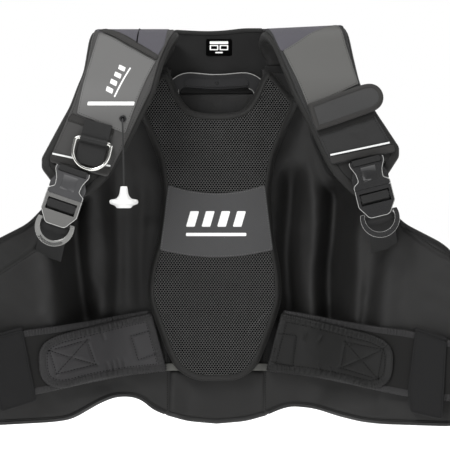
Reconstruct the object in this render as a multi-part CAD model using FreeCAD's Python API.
"""Scuba buoyancy compensator vest, built as separate sewn and moulded pieces.

Frame: millimetres, +Z up along the air cylinder, origin on the cylinder's axis at mid-height of the tank band.
The wearer stands on the -Y side and faces -Y, so "right" pieces (the wearer's right) are at negative X.

Two guide lines carry the soft pieces. WING_LINE is the plan (x, y) of one side of the jacket, from beside the
tank out to the tip of the front lobe. SHOULDER_LINE is the side view (y, z) of a shoulder pad, from the back
seam over the shoulder and down the chest. A soft piece is a layer between two offsets of its line, cut to its
front outline.
"""

import FreeCAD
import Part

import math
import os

V = FreeCAD.Vector

# ---------------------------------------------------------------- driving dimensions
TANK_R = 92.0                # 184 mm air cylinder
BAND_T = 2.4                 # tank band webbing, thickness and width
BAND_W = 50.0
BAND_SLOT = (60.0, -104.8)   # where the band's inner face turns through the backplate
GAP = 0.3                    # between pieces that lie on each other

PANEL_Y = (-97.0, -92.6)     # centre back panel, between backplate and tank
PLATE_Y = (-104.5, -97.5)    # moulded backplate
PAD_Y = (-126.0, -107.8)     # back pad
PANEL_HALF = 71.6            # half width of the centre back panel

WING_T = 20.0                # deflated air cell
LOBE_T = 24.0
POCKET_T = 20.0
PAD_T = 14.0                 # shoulder pad
SEAM_Z = 240.0               # wing to shoulder pad seam, behind the shoulder
LOBE_SEAM_X = 216.0          # wing to lobe seam

CHEST_Y = -240.0             # outer face of the shoulder pads over the chest
BUCKLE_BACK_Y = CHEST_Y - 2.4
WEB_HALF = 19.0              # shoulder webbing, 38 mm wide
WEB_T = 1.4

HEIGHT = 700.0               # longer than the vest, for cutting prisms

# Guide lines as (a, b, corner radius).
WING_LINE = [(72, -104, 0), (142, -104, 70), (228, -195, 70), (374, -251, 0)]
SHOULDER_LINE = [(-88, SEAM_Z + 0.4, 0), (-88, 288, 36), (-172, 289, 50), (-240, 188, 110), (-240, 48, 0)]
RIDGE_Y = -136.0             # top of the shoulder, where the back outline of a pad gives way to the front one

# Front outlines of the soft pieces as (x, z, corner radius), drawn for the side at positive X.
JACKET_TOP = [
    (350, -262, 50), (376, -200, 60), (374, -92, 70), (318, -14, 60), (262, 16, 20), (240, 40, 8), (230, 60, 6),
    (200, 66, 20), (165, 92, 30), (142, 145, 40), (141, 205, 20), (150, SEAM_Z, 0), (72, SEAM_Z, 0),
]
JACKET_SIDE = {
    "right": [(72, -263.5, 0), (93, -255, 10), (108, -241, 14), (124, -235.5, 18), (147, -235, 20), (170, -243, 20),
              (205, -261, 30)] + JACKET_TOP,
    "left": [(72, -263.5, 0), (93, -254, 12), (108, -249.5, 20), (142, -252, 60), (172, -259.5, 40),
             (205, -264, 30)] + JACKET_TOP,
}
PAD_FRONT = {
    "right": [(54, 320, 0), (54, 289, 15), (73, 244, 60), (84, 196, 60), (121, 122, 60), (150, 76, 20),
              (178, 52, 10), (208, 52, 12), (238, 92, 6), (238, 106, 5), (199, 178, 60), (183, 228, 60),
              (175, 290, 0), (175, 320, 0)],
    "left": [(56, 320, 0), (56, 291, 15), (84, 256, 60), (105, 196, 60), (149, 104, 60), (162, 82, 20),
             (192, 52, 10), (214, 52, 12), (250, 108, 6), (250, 121, 5), (222, 168, 40), (203, 207, 60),
             (181, 290, 0), (181, 320, 0)],
}
PAD_BACK = [(75, SEAM_Z, 0), (62, 275, 20), (52, 320, 0), (176, 320, 0), (170, 275, 20), (150, SEAM_Z, 0)]
COVER_FRONT = {
    "right": [(58, 320, 0), (58, 292, 15), (78, 242, 60), (88, 198, 60), (124, 124, 60), (146, 81.5, 5), (228, 102.8, 5),
              (195, 176, 60), (179, 228, 60), (171, 320, 0)],
    "left": [(60, 320, 0), (60, 292, 15), (89, 256, 60), (109, 198, 60), (156, 98, 5), (245, 115, 5),
             (218, 166, 40), (199, 206, 60), (176, 320, 0)],
}
SHOULDER_PANEL = {
    "right": [(84, 238, 2), (165, 282, 2), (190, 166, 2), (124, 139, 3)],
    "left": [(93, 254, 2), (171, 290, 2), (196, 206, 2), (129, 176, 2)],
}
TAB_EDGE = ((94, -113), (72, -196))    # sewn edge of a waist tab, top and bottom
CUMMERBUND = [(97, -109, 3), (170, -121, 60), (265, -131, 60), (350, -150, 30), (362, -190, 25), (345, -228, 30),
              (262, -222, 60), (205, -212, 60), (150, -206, 60), (72, -197, 3)]
WAIST_TAB = [(TAB_EDGE[0][0], TAB_EDGE[0][1], 2), (150, -125, 60), (216, -138, 40), (246, -150, 24),
             (243, -205, 24), (214, -214, 30), (180, -207, 60), (TAB_EDGE[1][0], TAB_EDGE[1][1], 2)]
SLEEVE = {
    "right": [(266, -126.5, 4), (313, -138.5, 4), (295, -242, 4), (247.5, -228.5, 4)],
    "left": [(273, -127, 4), (316, -138.8, 4), (309.5, -251.5, 4), (267.5, -243.5, 6), (263.5, -215, 60)],
}
POCKET = [(252, -80, 14), (350, -92, 20), (352, -228, 24), (250, -232, 14)]
ZIPPER = [(262, -99, 2), (340, -104, 2), (340, -112, 2), (262, -107, 2)]
BACK_PAD_TOP = [(82, 0, 90), (77, 62, 60), (84, 112, 50), (104, 160, 40), (117, 190, 8), (76, 240, 6), (65, 226, 8),
                (54, 200, 20), (40, 180, 12), (16, 175, 20)]
BACK_PAD_SIDE = {
    "right": [(30, -210.5, 40), (59, -195, 48), (74, -162, 90), (88, -124, 60), (100, -90, 50), (97, -50, 90)],
    "left": [(30, -210.5, 40), (57, -194, 48), (70, -162, 90), (85, -122, 60), (94, -92, 50), (92, -50, 90)],
}
PAD_PATCH = [(-70, 73, 3), (0, 50, 200), (70, 73, 3), (77, 15, 60), (82, -22, 3), (0, -38, 300), (-82, -22, 3),
             (-77, 15, 60)]
COLLAR = [(-71, 206, 1), (-71, 249, 10), (-61.3, 275.3, 20), (-56.4, 299, 2), (0, 294, 300), (56.4, 299, 2),
          (61.3, 275.3, 20), (71, 249, 10), (71, 206, 1)]
COLLAR_Y = (-97.2, -92.5)
SKIRT = [(0, -275.5), (40, -271), (71.6, -263)]


# ---------------------------------------------------------------- drawing helpers
def turn(p, q):
    """Unit direction from p to q in a guide line's own plane."""
    length = math.hypot(q[0] - p[0], q[1] - p[1])
    return (q[0] - p[0]) / length, (q[1] - p[1]) / length


def offset_line(line, offset):
    """An open guide line moved sideways to its left by offset, its corner radii changed to stay concentric."""
    moved = []
    for i, (a, b, r) in enumerate(line):
        before = turn(line[i - 1], line[i]) if i else turn(line[0], line[1])
        after = turn(line[i], line[i + 1]) if i + 1 < len(line) else before
        normal = (-before[1] - after[1], before[0] + after[0])
        scale = offset * 2 / (normal[0] ** 2 + normal[1] ** 2)
        side = math.copysign(1, before[0] * after[1] - before[1] * after[0])
        moved.append((a + normal[0] * scale, b + normal[1] * scale, max(r - side * offset, 0) if r else 0))
    return moved


def edges(corners, place, closed=False):
    """Straight and round edges through corners (a, b, radius). place puts a flat point into space."""
    count = len(corners)
    ends, arcs = [], []
    for i, (a, b, r) in enumerate(corners):
        if r <= 0 or (not closed and i in (0, count - 1)):
            ends.append(((a, b), (a, b)))
            arcs.append(None)
            continue
        into = turn(corners[i - 1], corners[i])
        out = turn(corners[i], corners[(i + 1) % count])
        half = math.acos(max(-1, min(1, into[0] * out[0] + into[1] * out[1]))) / 2
        reach = r * math.tan(half)
        start = (a - into[0] * reach, b - into[1] * reach)
        end = (a + out[0] * reach, b + out[1] * reach)
        inward = (out[0] - into[0], out[1] - into[1])
        size = math.hypot(*inward)
        if size < 1e-6:
            ends.append(((a, b), (a, b)))
            arcs.append(None)
            continue
        depth = r / math.cos(half) - r
        arcs.append((a + inward[0] / size * depth, b + inward[1] / size * depth))
        ends.append((start, end))
    made = []
    for i in range(count):
        if arcs[i]:
            made.append(Part.Arc(place(*ends[i][0]), place(*arcs[i]), place(*ends[i][1])).toShape())
        if i + 1 < count or closed:
            p, q = place(*ends[i][1]), place(*ends[(i + 1) % count][0])
            if (q - p).Length > 1e-5:
                made.append(Part.LineSegment(p, q).toShape())
    return made


def plan(a, b):
    return V(a, b, -HEIGHT / 2)


def side(a, b):
    return V(-HEIGHT, a, b)


def front(a, b):
    return V(a, -HEIGHT, b)


def layer(line, near, far, place, along):
    """The solid between two offsets of an open guide line, swept along a vector."""
    first, second = offset_line(line, near), offset_line(line, far)
    one, two = edges(first, place), edges(second, place)
    starts = Part.LineSegment(place(*second[0][:2]), place(*first[0][:2])).toShape()
    stops = Part.LineSegment(place(*first[-1][:2]), place(*second[-1][:2])).toShape()
    wire = Part.Wire(Part.__sortEdges__(one + [stops] + two + [starts]))
    return Part.Face(wire).extrude(along)


def prism(outline, y0=-HEIGHT, y1=HEIGHT):
    """A front outline swept between two depths."""
    wire = Part.Wire(edges(outline, lambda a, b: V(a, y0, b), closed=True))
    return Part.Face(wire).extrude(V(0, y1 - y0, 0))


def wing_layer(outline, near, far):
    """A layer on the wing line, cut to a front outline. Positive offsets are away from the wearer."""
    return layer(WING_LINE, near, far, plan, V(0, 0, HEIGHT)).common(prism(outline))


def shoulder_layer(outline, outer, inner):
    """A layer on the shoulder line, cut to a front outline. Positive offsets are towards the wearer."""
    return layer(SHOULDER_LINE, outer, inner, side, V(2 * HEIGHT, 0, 0)).common(prism(outline))


def box(x0, x1, y0, y1, z0, z1):
    return Part.makeBox(x1 - x0, y1 - y0, z1 - z0, V(x0, y0, z0))


def rod(radius, start, end):
    return Part.makeCylinder(radius, (end - start).Length, start, end - start)


def mirrored(shape):
    return shape.mirror(V(0, 0, 0), V(1, 0, 0))


def on_side(shape, name):
    """A shape drawn at positive X, put on the named side."""
    return mirrored(shape) if name == "right" else shape


def export(name, shape):
    shape = shape.removeSplitter()
    if not shape.isValid() or not shape.Solids:
        raise RuntimeError(name + " is not a valid solid")
    solids = shape.Solids
    (solids[0] if len(solids) == 1 else Part.makeCompound(solids)).exportStep("parts/" + name + ".step")


# ---------------------------------------------------------------- jacket
def back_panel():
    """The flat panel that the cylinder lies on, with two slots that the tank band passes through."""
    half = [(0, -275.5, 0), (42, -272, 60), (PANEL_HALF, -263, 0), (PANEL_HALF, 205.6, 0), (0, 205.6, 0)]
    panel = prism(half, *PANEL_Y)
    panel = panel.fuse(mirrored(panel))
    for sign in (-1, 1):
        low, high = sorted((sign * 60.0, sign * 69.8))
        panel = panel.cut(box(low, high, PANEL_Y[0] - 1, PANEL_Y[1] + 1, -BAND_W / 2 - 1, BAND_W / 2 + 1))
    return panel


def collar():
    return prism(COLLAR, *COLLAR_Y)


def wing(name):
    half = Part.makeBox(LOBE_SEAM_X, 2 * HEIGHT, 2 * HEIGHT, V(0, -HEIGHT, -HEIGHT))
    return wing_layer(JACKET_SIDE[name], 0, WING_T).common(half)


def lobe(name):
    start = LOBE_SEAM_X + 0.4
    outer = Part.makeBox(HEIGHT, 2 * HEIGHT, 2 * HEIGHT, V(start, -HEIGHT, -HEIGHT))
    return wing_layer(JACKET_SIDE[name], 0, LOBE_T).common(outer)


def pocket():
    return wing_layer(POCKET, LOBE_T + GAP, LOBE_T + POCKET_T)


ZIPPER_OFFSET = LOBE_T + POCKET_T + GAP


def pocket_zippers():
    zipper = wing_layer(ZIPPER, ZIPPER_OFFSET, ZIPPER_OFFSET + 1.2)
    return Part.makeCompound([zipper, mirrored(zipper)])


def zip_slider():
    """A slider on the zipper's inner end, with its pull hanging from a bail."""
    near = ZIPPER_OFFSET + 1.2 + GAP
    body = [(266, -97, 3), (276, -98, 3), (276, -110, 2), (266, -109, 2)]
    pull = [(268.5, -106, 1), (273.5, -106, 1), (275, -134, 2.5), (267, -134, 2.5)]
    return wing_layer(body, near, near + 3.0).fuse(wing_layer(pull, near + 2.0, near + 3.6))


# ---------------------------------------------------------------- shoulders
def shoulder_pad(name):
    chest = Part.makeBox(2 * HEIGHT, HEIGHT, 2 * HEIGHT, V(-HEIGHT, RIDGE_Y - HEIGHT, -HEIGHT))
    nape = Part.makeBox(2 * HEIGHT, HEIGHT, 2 * HEIGHT, V(-HEIGHT, RIDGE_Y, -HEIGHT))
    front_part = shoulder_layer(PAD_FRONT[name], 0, PAD_T).common(chest)
    back_part = shoulder_layer(PAD_BACK, 0, PAD_T).common(nape)
    return front_part.fuse(back_part)


COVER_OUT = 5.0              # the cover's outer face stands this far off the pad


def shoulder_cover(name):
    chest = Part.makeBox(2 * HEIGHT, HEIGHT, 2 * HEIGHT, V(-HEIGHT, RIDGE_Y - 10 - HEIGHT, -HEIGHT))
    return shoulder_layer(COVER_FRONT[name], -2.5, -COVER_OUT).common(chest)


def shoulder_panel(name):
    chest = Part.makeBox(2 * HEIGHT, HEIGHT, 2 * HEIGHT, V(-HEIGHT, RIDGE_Y - HEIGHT, -HEIGHT))
    return shoulder_layer(SHOULDER_PANEL[name], -COVER_OUT - GAP, -COVER_OUT - GAP - 1.0).common(chest)


TAB_START = (131, 160)       # middle of the hose tab's sewn edge
TAB_ALONG = (0.95, 0.3122)   # its direction towards the rounded end
TAB_LENGTH = 86.0


def across(start, along, u, v):
    """The point u along and v across a strip that starts at start."""
    return start[0] + along[0] * u - along[1] * v, start[1] + along[1] * u + along[0] * v


def strip(start, along, length, half, end_radius):
    """A straight strip with its far corners rounded, as a front outline."""
    corners = [(0, -half, 0.5), (length, -half, end_radius), (length, half, end_radius), (0, half, 0.5)]
    return [across(start, along, u, v) + (r,) for u, v, r in corners]


def hose_tab_base():
    near = COVER_OUT + GAP
    lower = (TAB_START[0] + 3, TAB_START[1] - 6)
    return shoulder_layer(strip(lower, TAB_ALONG, 82, 19, 2), -near, -near - 2.0)


def hose_tab():
    near = COVER_OUT + GAP + 2.0 + GAP
    return shoulder_layer(strip(TAB_START, TAB_ALONG, TAB_LENGTH + 16, 18, 17.5), -near, -near - 3.0)


def reflectors():
    """A thin reflective bar above each cover's hem."""
    bars = []
    for name, start, end in (("right", (144, 95), (223, 112)), ("left", (156, 110), (237, 127))):
        bar = strip(start, turn(start, end), math.dist(start, end), 1.2, 0.5)
        bars.append(on_side(prism(bar, CHEST_Y - COVER_OUT - 1.5, CHEST_Y - COVER_OUT - GAP), name))
    return Part.makeCompound(bars)


# ---------------------------------------------------------------- waist
CUMMERBUND_OFF = (-9.0, -13.0)
TAB_OFF = (-13.4, -17.4)


def cummerbund():
    return wing_layer(CUMMERBUND, *CUMMERBUND_OFF)


def waist_tab():
    return wing_layer(WAIST_TAB, *TAB_OFF)


def cummerbund_sleeve(name):
    """A flat loop on the lobe that the cummerbund runs through."""
    room = [(235, -122.4, 0), (335, -145.8, 0), (335, -231, 0), (235, -221.5, 0)]
    return wing_layer(SLEEVE[name], -GAP, -16.5).cut(wing_layer(room, -8.0, -14.0))


# ---------------------------------------------------------------- backplate and back pad
def back_pad():
    left = BACK_PAD_SIDE["left"] + BACK_PAD_TOP
    right = [(-x, z, r) for x, z, r in BACK_PAD_SIDE["right"] + BACK_PAD_TOP]
    return prism(left + right[::-1], *PAD_Y)


def pad_patch():
    return prism(PAD_PATCH, PAD_Y[0] - GAP - 1.2, PAD_Y[0] - GAP)


def backplate():
    """Moulded plate with a carrying handle at its top and a slot each side for the tank band."""
    half = [(0, -182, 0), (50, -182, 25), (66, -150, 40), (68, 0, 200), (71.4, 190, 40), (66, 226, 8), (42, 238, 18),
            (0, 231.5, 0)]
    plate = prism(half, *PLATE_Y)
    plate = plate.fuse(mirrored(plate))
    grip_gap = [(-56, 200, 12), (-52, 216, 10), (0, 212, 150), (52, 216, 10), (56, 200, 12), (38, 164, 14),
                (-38, 164, 14)]
    plate = plate.cut(prism(grip_gap))
    for sign in (-1, 1):
        low, high = sorted((sign * 56.5, sign * 67.2))
        plate = plate.cut(box(low, high, -HEIGHT, HEIGHT, -BAND_W / 2 - 1, BAND_W / 2 + 1))
        for z in (-120.0, -75.0, 75.0, 120.0):
            plate = plate.cut(rod(9.0, V(sign * 34, -HEIGHT, z), V(sign * 34, HEIGHT, z)))
    return plate.cut(rod(1.5, V(0, -HEIGHT, SCREW_Z), V(0, HEIGHT, SCREW_Z)))


SCREW_Z = 221.5
GRIP_Y = (PLATE_Y[0] - GAP - 2.6, PLATE_Y[0] - GAP)


def carry_handle_grip():
    grip = prism([(-50, 218, 4), (-42, 229, 8), (0, 226, 200), (42, 229, 8), (50, 218, 4), (0, 215.5, 200)], *GRIP_Y)
    return grip.cut(rod(1.5, V(0, -HEIGHT, SCREW_Z), V(0, HEIGHT, SCREW_Z)))


def handle_screw():
    head = rod(2.6, V(0, GRIP_Y[0] - 1.4, SCREW_Z), V(0, GRIP_Y[0], SCREW_Z))
    shank = rod(1.4, V(0, GRIP_Y[0], SCREW_Z), V(0, PLATE_Y[1] - 0.5, SCREW_Z))
    slot = box(-2.0, 2.0, GRIP_Y[0] - 2, GRIP_Y[0] - 0.9, SCREW_Z - 0.35, SCREW_Z + 0.35)
    return head.fuse(shank).cut(slot)


def position_straps():
    """Two webbing tabs seen through the handle's gap, for the strap that hangs the vest on the cylinder valve."""
    return Part.makeCompound([box(x, x + 20, -99.2, PANEL_Y[0] - GAP, 166, 196) for x in (-28, 8)])


def size_label():
    return prism([(-18, 262, 1), (22, 262, 1), (22, 284, 1), (-18, 284, 1)], COLLAR_Y[0] - GAP - 0.6, COLLAR_Y[0] - GAP)


# ---------------------------------------------------------------- tank band
def band_loop(thickness):
    """The band's outline in plan at a distance from its inner face: round the cylinder and across the backplate."""
    radius = TANK_R + thickness
    slot_x, slot_y = BAND_SLOT
    reach = math.hypot(slot_x, slot_y)
    lean = math.atan2(slot_y, slot_x) + math.acos(TANK_R / reach)
    contact = V(radius * math.cos(lean), radius * math.sin(lean), 0)
    outer_x = slot_x + thickness * (1 - math.sin(lean)) / math.cos(lean)
    corner = V(outer_x, slot_y - thickness, 0)
    flip = lambda p: V(-p.x, p.y, 0)
    arc = Part.Arc(contact, V(0, radius, 0), flip(contact)).toShape()
    turns = [(flip(contact).x, contact.y, 0), (-corner.x, corner.y, 4 + thickness), (corner.x, corner.y, 4 + thickness),
             (contact.x, contact.y, 0)]
    return Part.Face(Part.Wire([arc] + edges(turns, lambda a, b: V(a, b, 0))))


def tank_band():
    """Webbing loop round the cylinder, and its free end folded back from the buckle."""
    ring = band_loop(BAND_T).cut(band_loop(0)).extrude(V(0, 0, BAND_W))
    ring.translate(V(0, 0, -BAND_W / 2))
    inner, outer = TANK_R + BAND_T + GAP, 2 * BAND_T + TANK_R + GAP
    tail = Part.makeCylinder(outer, BAND_W, V(0, 0, -BAND_W / 2)).cut(
        Part.makeCylinder(inner, BAND_W, V(0, 0, -BAND_W / 2)))
    wedge = Part.Face(Part.makePolygon([V(0, 0, -50), V(150, 40, -50), V(150, 200, -50), V(70, 180, -50), V(0, 0, -50)]))
    return Part.makeCompound([ring.Solids[0], tail.common(wedge.extrude(V(0, 0, 100))).Solids[0]])


CAM_PIVOT = (-18.0, 103.2)
CAM_PIN_R = 2.5


def cam_buckle_frame():
    base = box(-30, 30, 95.0, 97.6, -29, 29)
    cheeks = []
    for z in (-29, 26):
        cheek = [(-30, 95, 0), (8, 95, 0), (8, 99, 3), (-8, 109, 6), (-28, 109, 6), (-30, 97, 0)]
        wire = Part.Wire(edges(cheek, lambda a, b: V(a, b, z), closed=True))
        cheeks.append(Part.Face(wire).extrude(V(0, 0, 3)))
    frame = base.fuse(cheeks)
    for x in (14, 24):
        frame = frame.cut(box(x - 2, x + 2, 90, 100, -25.5, 25.5))
    return frame.cut(rod(CAM_PIN_R + 0.02, V(*CAM_PIVOT, -40), V(*CAM_PIVOT, 40)))


def cam_buckle_pin():
    return rod(CAM_PIN_R, V(*CAM_PIVOT, -29.5), V(*CAM_PIVOT, 29.5))


def cam_buckle_lever():
    x, y = CAM_PIVOT
    corners = [(x - 3, y - 3.2, 1), (40, y - 3.2, 3), (47, y + 1.0, 1.5), (45, y + 4.2, 2), (38, y + 2.0, 4),
               (x - 3, y + 4.5, 2)]
    wire = Part.Wire(edges(corners, lambda a, b: V(a, b, -25.4), closed=True))
    lever = Part.Face(wire).extrude(V(0, 0, 50.8)).fuse(rod(5.2, V(x, y, -25.4), V(x, y, 25.4)))
    for a in (8, 17, 26):
        lever = lever.cut(box(a - 2.2, a + 2.2, y + 1.2, y + 10, -18, 18))
    return lever.cut(rod(CAM_PIN_R + 0.08, V(x, y, -40), V(x, y, 40)))


# ---------------------------------------------------------------- shoulder buckles
BUCKLES = {                  # centre of the parting line (x, z) and lean from the vertical, in degrees
    "right": (-206.0, 53.0, 18.7),
    "left": (213.0, 66.0, -14.0),
}
BUCKLE_T = 12.0
BAR_Y, RING_BAR_Y = -6.6, -5.4
RING_BAR_Z = -36.0
RING_BAR_R = 1.5


def on_chest(shape, name):
    """Puts a shape drawn about a buckle's parting line, back face at y = 0, into its place on the chest."""
    x, z, lean = BUCKLES[name]
    placed = shape.copy()
    placed.Placement = FreeCAD.Placement(V(x, BUCKLE_BACK_Y, z), FreeCAD.Rotation(V(0, 1, 0), lean))
    return placed


def both(outline):
    """A half outline drawn from bottom centre to top centre, closed by its mirror image."""
    return outline + [(-a, b, r) for a, b, r in reversed(outline) if abs(a) > 1e-9]


def buckle_socket():
    """Female half: a flat shell with a window each side for the latches and a webbing slot at its top."""
    shell = prism(both([(0, 0, 0), (25, 0, 1), (25, 5.5, 1), (17, 11, 3), (18, 22, 20), (24, 34, 8), (23, 39, 2),
                        (0, 39, 0)]), -BUCKLE_T, 0)
    cavity = box(-21, 21, -9.6, -2.4, -1, 30.0)
    webbing = box(-19.6, 19.6, -20, 20, 32.0, 35.0)
    dish = Part.makeCylinder(60, 60, V(-30, -BUCKLE_T - 58.9, 20), V(1, 0, 0))
    return shell.cut(cavity).cut(webbing).cut(dish.common(box(-10, 10, -30, 30, 8, 29)))


def buckle_plug():
    """Male half: guide tongue, base, side rails, a bar for the webbing and a lift plate at the bottom."""
    base = box(-25, 25, -BUCKLE_T, 0, -6.0, -0.4)
    tongue = box(-4, 4, -8.6, -3.4, -1, 28)
    rails = [box(20.6, 25, -BUCKLE_T, 0, -23.5, -5), box(-25, -20.6, -BUCKLE_T, 0, -23.5, -5)]
    bar = prism([(-21, -16, 0), (21, -16, 0), (21, -10, 0), (-21, -10, 0)], BAR_Y - 2, BAR_Y + 2)
    plate = prism(both([(0, -40.5, 0), (14, -40.5, 7), (18.6, -33, 10), (25, -23.5, 1), (25, -22.4, 0),
                        (0, -22.4, 0)]), -BUCKLE_T, -9.2)
    return base.fuse([tongue, *rails, bar, plate])


def buckle_latch():
    """The springy side arm at positive x, with the button that the window shows."""
    arm = [(13.4, 0.4, 0.5), (17, 0.4, 0.5), (18, 9.6, 1), (20.6, 9.6, 1), (25, 6.6, 1), (25.4, 16, 8), (21.4, 24, 6),
           (18.5, 28.6, 1.5), (15, 28.6, 1.5), (14.2, 12, 4)]
    return prism(arm, -8.8, -3.2)


def shoulder_strap():
    """Lower webbing: up from the lobe behind the plug, over its bar, and down behind the lift plate to the ring."""
    line = [(40, -88, 0), (-1.0, -48, 14), (-1.0, -8.0, 1.2), (-10.6, -8.0, 1.2), (-10.6, -18.2, 1.5),
            (-5.4, -21.2, 2), (RING_BAR_Y, RING_BAR_Z + 2.4, 0)]
    flat = lambda a, b: V(-WEB_HALF, a, b)
    strap = layer(line, -WEB_T / 2, WEB_T / 2, flat, V(2 * WEB_HALF, 0, 0))
    hem = rod(3.1, V(-WEB_HALF, RING_BAR_Y, RING_BAR_Z), V(WEB_HALF, RING_BAR_Y, RING_BAR_Z))
    hole = rod(RING_BAR_R + 0.25, V(-40, RING_BAR_Y, RING_BAR_Z), V(40, RING_BAR_Y, RING_BAR_Z))
    return strap.fuse(hem).cut(hole)


def strap_to_lobe(name):
    """The shoulder strap in place, ending on the inner face of the lobe."""
    jacket = on_side(layer(WING_LINE, -GAP, 90, plan, V(0, 0, HEIGHT)), name)
    rest = on_chest(shoulder_strap(), name).cut(jacket)
    return max(rest.Solids, key=lambda solid: solid.Volume)


def upper_webbing():
    """Short webbing from each socket up under the shoulder cover."""
    made = []
    for name in BUCKLES:
        run = box(-WEB_HALF, WEB_HALF, 0.3, 0.3 + WEB_T, 32.8, 62.0)
        loop = box(-WEB_HALF, WEB_HALF, -13.8, 0.3 + WEB_T, 32.8, 40.8)
        made.append(on_chest(run.fuse(loop).cut(box(-30, 30, -12.4, 0.3, 34.5, 39.4)), name))
    return Part.makeCompound(made)


def pull_ring():
    """Flat crescent ring that hangs on the webbing's end."""
    centre = RING_BAR_Z - 7.0
    place = lambda radius, z: rod(radius, V(0, -7.4, z), V(0, -3.4, z))
    ring = place(27.0, centre).cut(place(20.6, centre + 1.6))
    ring = ring.cut(box(-40, 40, -20, 20, RING_BAR_Z + 2.0, 50))
    return ring.fuse(rod(RING_BAR_R, V(-22, RING_BAR_Y, RING_BAR_Z), V(22, RING_BAR_Y, RING_BAR_Z)))


# ---------------------------------------------------------------- chest ring and dump pull
RING_LOOP = (-166.0, 129.0)  # centre of the D-ring's straight bar (x, z)
RING_LEAN = 13.7
RING_WIRE_R = 2.5
RING_Y = CHEST_Y - COVER_OUT - GAP - 6.4


def at_ring(shape):
    placed = shape.copy()
    placed.Placement = FreeCAD.Placement(
        V(RING_LOOP[0], RING_Y, RING_LOOP[1]), FreeCAD.Rotation(V(0, 1, 0), RING_LEAN))
    return placed


def chest_d_ring():
    """Bent steel wire: a straight bar and a round bow hanging below it."""
    half, drop = 25.0, -14.5
    outline = [(-half, 0, 5), (half, 0, 5), (half, drop - half, half), (-half, drop - half, half)]
    wire = Part.Wire(edges(outline, lambda a, b: V(a, 0, b), closed=True))
    start = wire.Edges[0].valueAt(wire.Edges[0].FirstParameter)
    way = wire.Edges[0].tangentAt(wire.Edges[0].FirstParameter)
    profile = Part.Wire(Part.Circle(start, way, RING_WIRE_R).toShape())
    return at_ring(wire.makePipeShell([profile], True, False))


def d_ring_loop():
    """Webbing tab sewn to the cover, folded round the ring's bar."""
    half = 19.0
    fold = rod(4.6, V(-half, 0, 0), V(half, 0, 0))
    back = box(-half, half, 3.0, 4.6, -34, 0).fuse(box(-half, half, 3.0, 4.6, 0, 26))
    cover = box(-half, half, 0.9, 2.7, 3.9, 26)
    hole = rod(RING_WIRE_R + 0.3, V(-40, 0, 0), V(40, 0, 0))
    return at_ring(fold.fuse([back, cover]).cut(hole))


EYELET = (-127.0, 159.5)
EYELET_Y = CHEST_Y - COVER_OUT
CORD_R = 1.2
CORD_ROUTE = [                # x, y, z of the dump cord, from the eyelet down to the knob
    (-127.0, -246.6, 159.5), (-127.0, -252.0, 158.4), (-126.8, -255.0, 152.8), (-125.0, -255.4, 67.3),
]


def dump_eyelet():
    """Pressed metal eyelet in the shoulder cover."""
    x, z = EYELET
    grommet = rod(4.8, V(x, EYELET_Y - 2.7, z), V(x, EYELET_Y - 1.6, z))
    grommet = grommet.cut(rod(2.3, V(x, EYELET_Y - 9, z), V(x, EYELET_Y + 9, z)))
    rims = [e for e in grommet.Edges if e.Curve.TypeId == "Part::GeomCircle" and e.BoundBox.YMax < EYELET_Y - 2.6]
    return grommet.makeFillet(0.4, rims)


def cord_path(route):
    """Straight runs joined by tangent arcs, each arc as large as its runs allow."""
    points = [V(*p) for p in route]
    made, last = [], points[0]
    for before, corner, after in zip(points, points[1:], points[2:]):
        into, out = (corner - before), (after - corner)
        shorter = min(into.Length, out.Length)
        into.normalize()
        out.normalize()
        half = into.getAngle(out) / 2
        reach = 0.45 * shorter
        radius = reach / math.tan(half)
        start, end = corner - into * reach, corner + out * reach
        middle = (out - into).normalize() * (radius / math.cos(half) - radius) + corner
        print("cord radius %.1f mm, turn %.0f degrees" % (radius, math.degrees(2 * half)))
        made.append(Part.LineSegment(last, start).toShape())
        made.append(Part.Arc(start, middle, end).toShape())
        last = end
    made.append(Part.LineSegment(last, points[-1]).toShape())
    return Part.Wire(made)


def dump_cord():
    path = cord_path(CORD_ROUTE)
    start = path.Edges[0]
    profile = Part.Wire(Part.Circle(V(*CORD_ROUTE[0]), start.tangentAt(start.FirstParameter), CORD_R).toShape())
    cord = path.makePipeShell([profile], True, False)
    print("cord length %.1f, volume ratio %.4f" % (path.Length, cord.Volume / (path.Length * math.pi * CORD_R ** 2)))
    return cord


def dump_knob():
    """Turned pull knob: a tapered neck that flares to a rounded disc."""
    x, y, top = CORD_ROUTE[-1]
    top -= 0.3
    half = [(0, 0, 0), (4.6, 0, 1.4), (6.4, -12, 10), (10.5, -16.8, 5), (19.6, -18.4, 2.6), (19.6, -23.4, 3.2),
            (12.4, -26.2, 2), (9.5, -29.6, 2.4), (0, -29.6, 0)]
    place = lambda a, b: V(x + a, y, top + b)
    wire = Part.Wire(edges(half, place) + [Part.LineSegment(place(0, -29.6), place(0, 0)).toShape()])
    return Part.Face(wire).revolve(V(x, y, 0), V(0, 0, 1), 360)


# ---------------------------------------------------------------- valves on the back of the shoulders
VALVE = (-100.0, 206.0)      # shoulder dump valve (x, z)
PORT = (100.0, 206.0)        # inflator hose port
WING_BACK_Y = -84.0
PORT_BORE_R = 12.5
PORT_LENGTH = 18.0


def about(centre, start, end, radius):
    """A disc or drum on an axis along Y, from start to end behind the wing's outer face."""
    x, z = centre
    return rod(radius, V(x, WING_BACK_Y + start, z), V(x, WING_BACK_Y + end, z))


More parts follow.
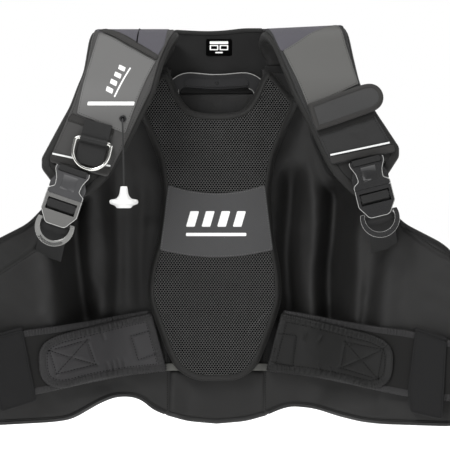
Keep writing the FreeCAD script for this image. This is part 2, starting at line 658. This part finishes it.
def dump_valve_body():
    """Flanged drum with a bleed hole ring and the seat that the poppet closes."""
    body = about(VALVE, 0.2, 2.4, 25).fuse(about(VALVE, 0.2, 12.0, 22.5))
    body = body.cut(about(VALVE, 3.4, 20, 19.6)).cut(about(VALVE, -5, 20, 13.5))
    for i in range(8):
        angle = math.radians(45 * i + 22.5)
        x, z = VALVE[0] + 30 * math.cos(angle), VALVE[1] + 30 * math.sin(angle)
        body = body.cut(rod(2.0, V(VALVE[0], WING_BACK_Y + 8, VALVE[1]), V(x, WING_BACK_Y + 8, z)))
    return body


def dump_valve_cap():
    cap = about(VALVE, 12.3, 17.5, 24).cut(about(VALVE, 12.0, 15.3, 21.0))
    grips = []
    for i in range(12):
        angle = math.radians(30 * i)
        x, z = VALVE[0] + 25.2 * math.cos(angle), VALVE[1] + 25.2 * math.sin(angle)
        grips.append(rod(2.4, V(x, WING_BACK_Y + 10, z), V(x, WING_BACK_Y + 20, z)))
    return cap.cut(Part.makeCompound(grips))


def dump_valve_poppet():
    return about(VALVE, 3.6, 5.4, 17.5).fuse(about(VALVE, 5.4, 8.0, 5.0))


def dump_valve_spring():
    """Cone-free coil spring between the poppet and the cap."""
    height, turns, radius, wire_r = 7.4, 4, 8.6, 0.6
    helix = Part.makeHelix(height / turns, height, radius)
    profile = Part.Wire(Part.Circle(V(radius, 0, 0), V(0, 1, 0.05), wire_r).toShape())
    coil = Part.Wire(helix).makePipeShell([profile], True, True)
    coil.Placement = FreeCAD.Placement(
        V(VALVE[0], WING_BACK_Y + 6.6, VALVE[1]), FreeCAD.Rotation(V(1, 0, 0), -90))
    return coil


def inflator_port():
    """Flanged boss on the left shoulder's back, bored for the inflator hose's elbow."""
    port = about(PORT, 0.2, 3.2, 24).fuse(about(PORT, 0.2, 0.2 + PORT_LENGTH, 17.5))
    port = port.fuse(about(PORT, 14.0, 17.0, 19.5))
    return port.cut(about(PORT, -5, 40, PORT_BORE_R))


# ---------------------------------------------------------------- assembly
def main():
    os.makedirs("parts", exist_ok=True)
    pieces = {
        "back_panel": back_panel(), "collar": collar(), "back_pad": back_pad(), "back_pad_patch": pad_patch(),
        "backplate": backplate(), "carry_handle_grip": carry_handle_grip(), "handle_screw": handle_screw(),
        "size_label": size_label(), "position_straps": position_straps(), "pocket_zippers": pocket_zippers(),
        "tank_band": tank_band(), "cam_buckle_frame": cam_buckle_frame(),
        "cam_buckle_pin": cam_buckle_pin(), "cam_buckle_lever": cam_buckle_lever(), "reflectors": reflectors(),
        "upper_webbing": upper_webbing(), "hose_tab_base": hose_tab_base(), "hose_tab": hose_tab(),
        "chest_d_ring": chest_d_ring(), "d_ring_loop": d_ring_loop(), "dump_eyelet": dump_eyelet(),
        "dump_cord": dump_cord(), "dump_knob": dump_knob(), "dump_valve_body": dump_valve_body(),
        "dump_valve_cap": dump_valve_cap(), "dump_valve_poppet": dump_valve_poppet(),
        "dump_valve_spring": dump_valve_spring(), "inflator_port": inflator_port(),
    }
    latch = buckle_latch()
    for name in ("right", "left"):
        pieces[name + "_wing"] = on_side(wing(name), name)
        pieces[name + "_lobe"] = on_side(lobe(name), name)
        pieces[name + "_pocket"] = on_side(pocket(), name)
        pieces[name + "_zip_slider"] = on_side(zip_slider(), name)
        pieces[name + "_cummerbund"] = on_side(cummerbund(), name)
        pieces[name + "_waist_tab"] = on_side(waist_tab(), name)
        pieces[name + "_cummerbund_sleeve"] = on_side(cummerbund_sleeve(name), name)
        pieces[name + "_shoulder_pad"] = on_side(shoulder_pad(name), name)
        pieces[name + "_shoulder_cover"] = on_side(shoulder_cover(name), name)
        pieces[name + "_shoulder_panel"] = on_side(shoulder_panel(name), name)
        pieces[name + "_buckle_socket"] = on_chest(buckle_socket(), name)
        pieces[name + "_buckle_plug"] = on_chest(buckle_plug(), name)
        pieces[name + "_latch_east"] = on_chest(latch, name)
        pieces[name + "_latch_west"] = on_chest(mirrored(latch), name)
        pieces[name + "_shoulder_strap"] = strap_to_lobe(name)
        pieces[name + "_pull_ring"] = on_chest(pull_ring(), name)
    for name, shape in pieces.items():
        export(name, shape)
    print(len(pieces), "pieces")


main()
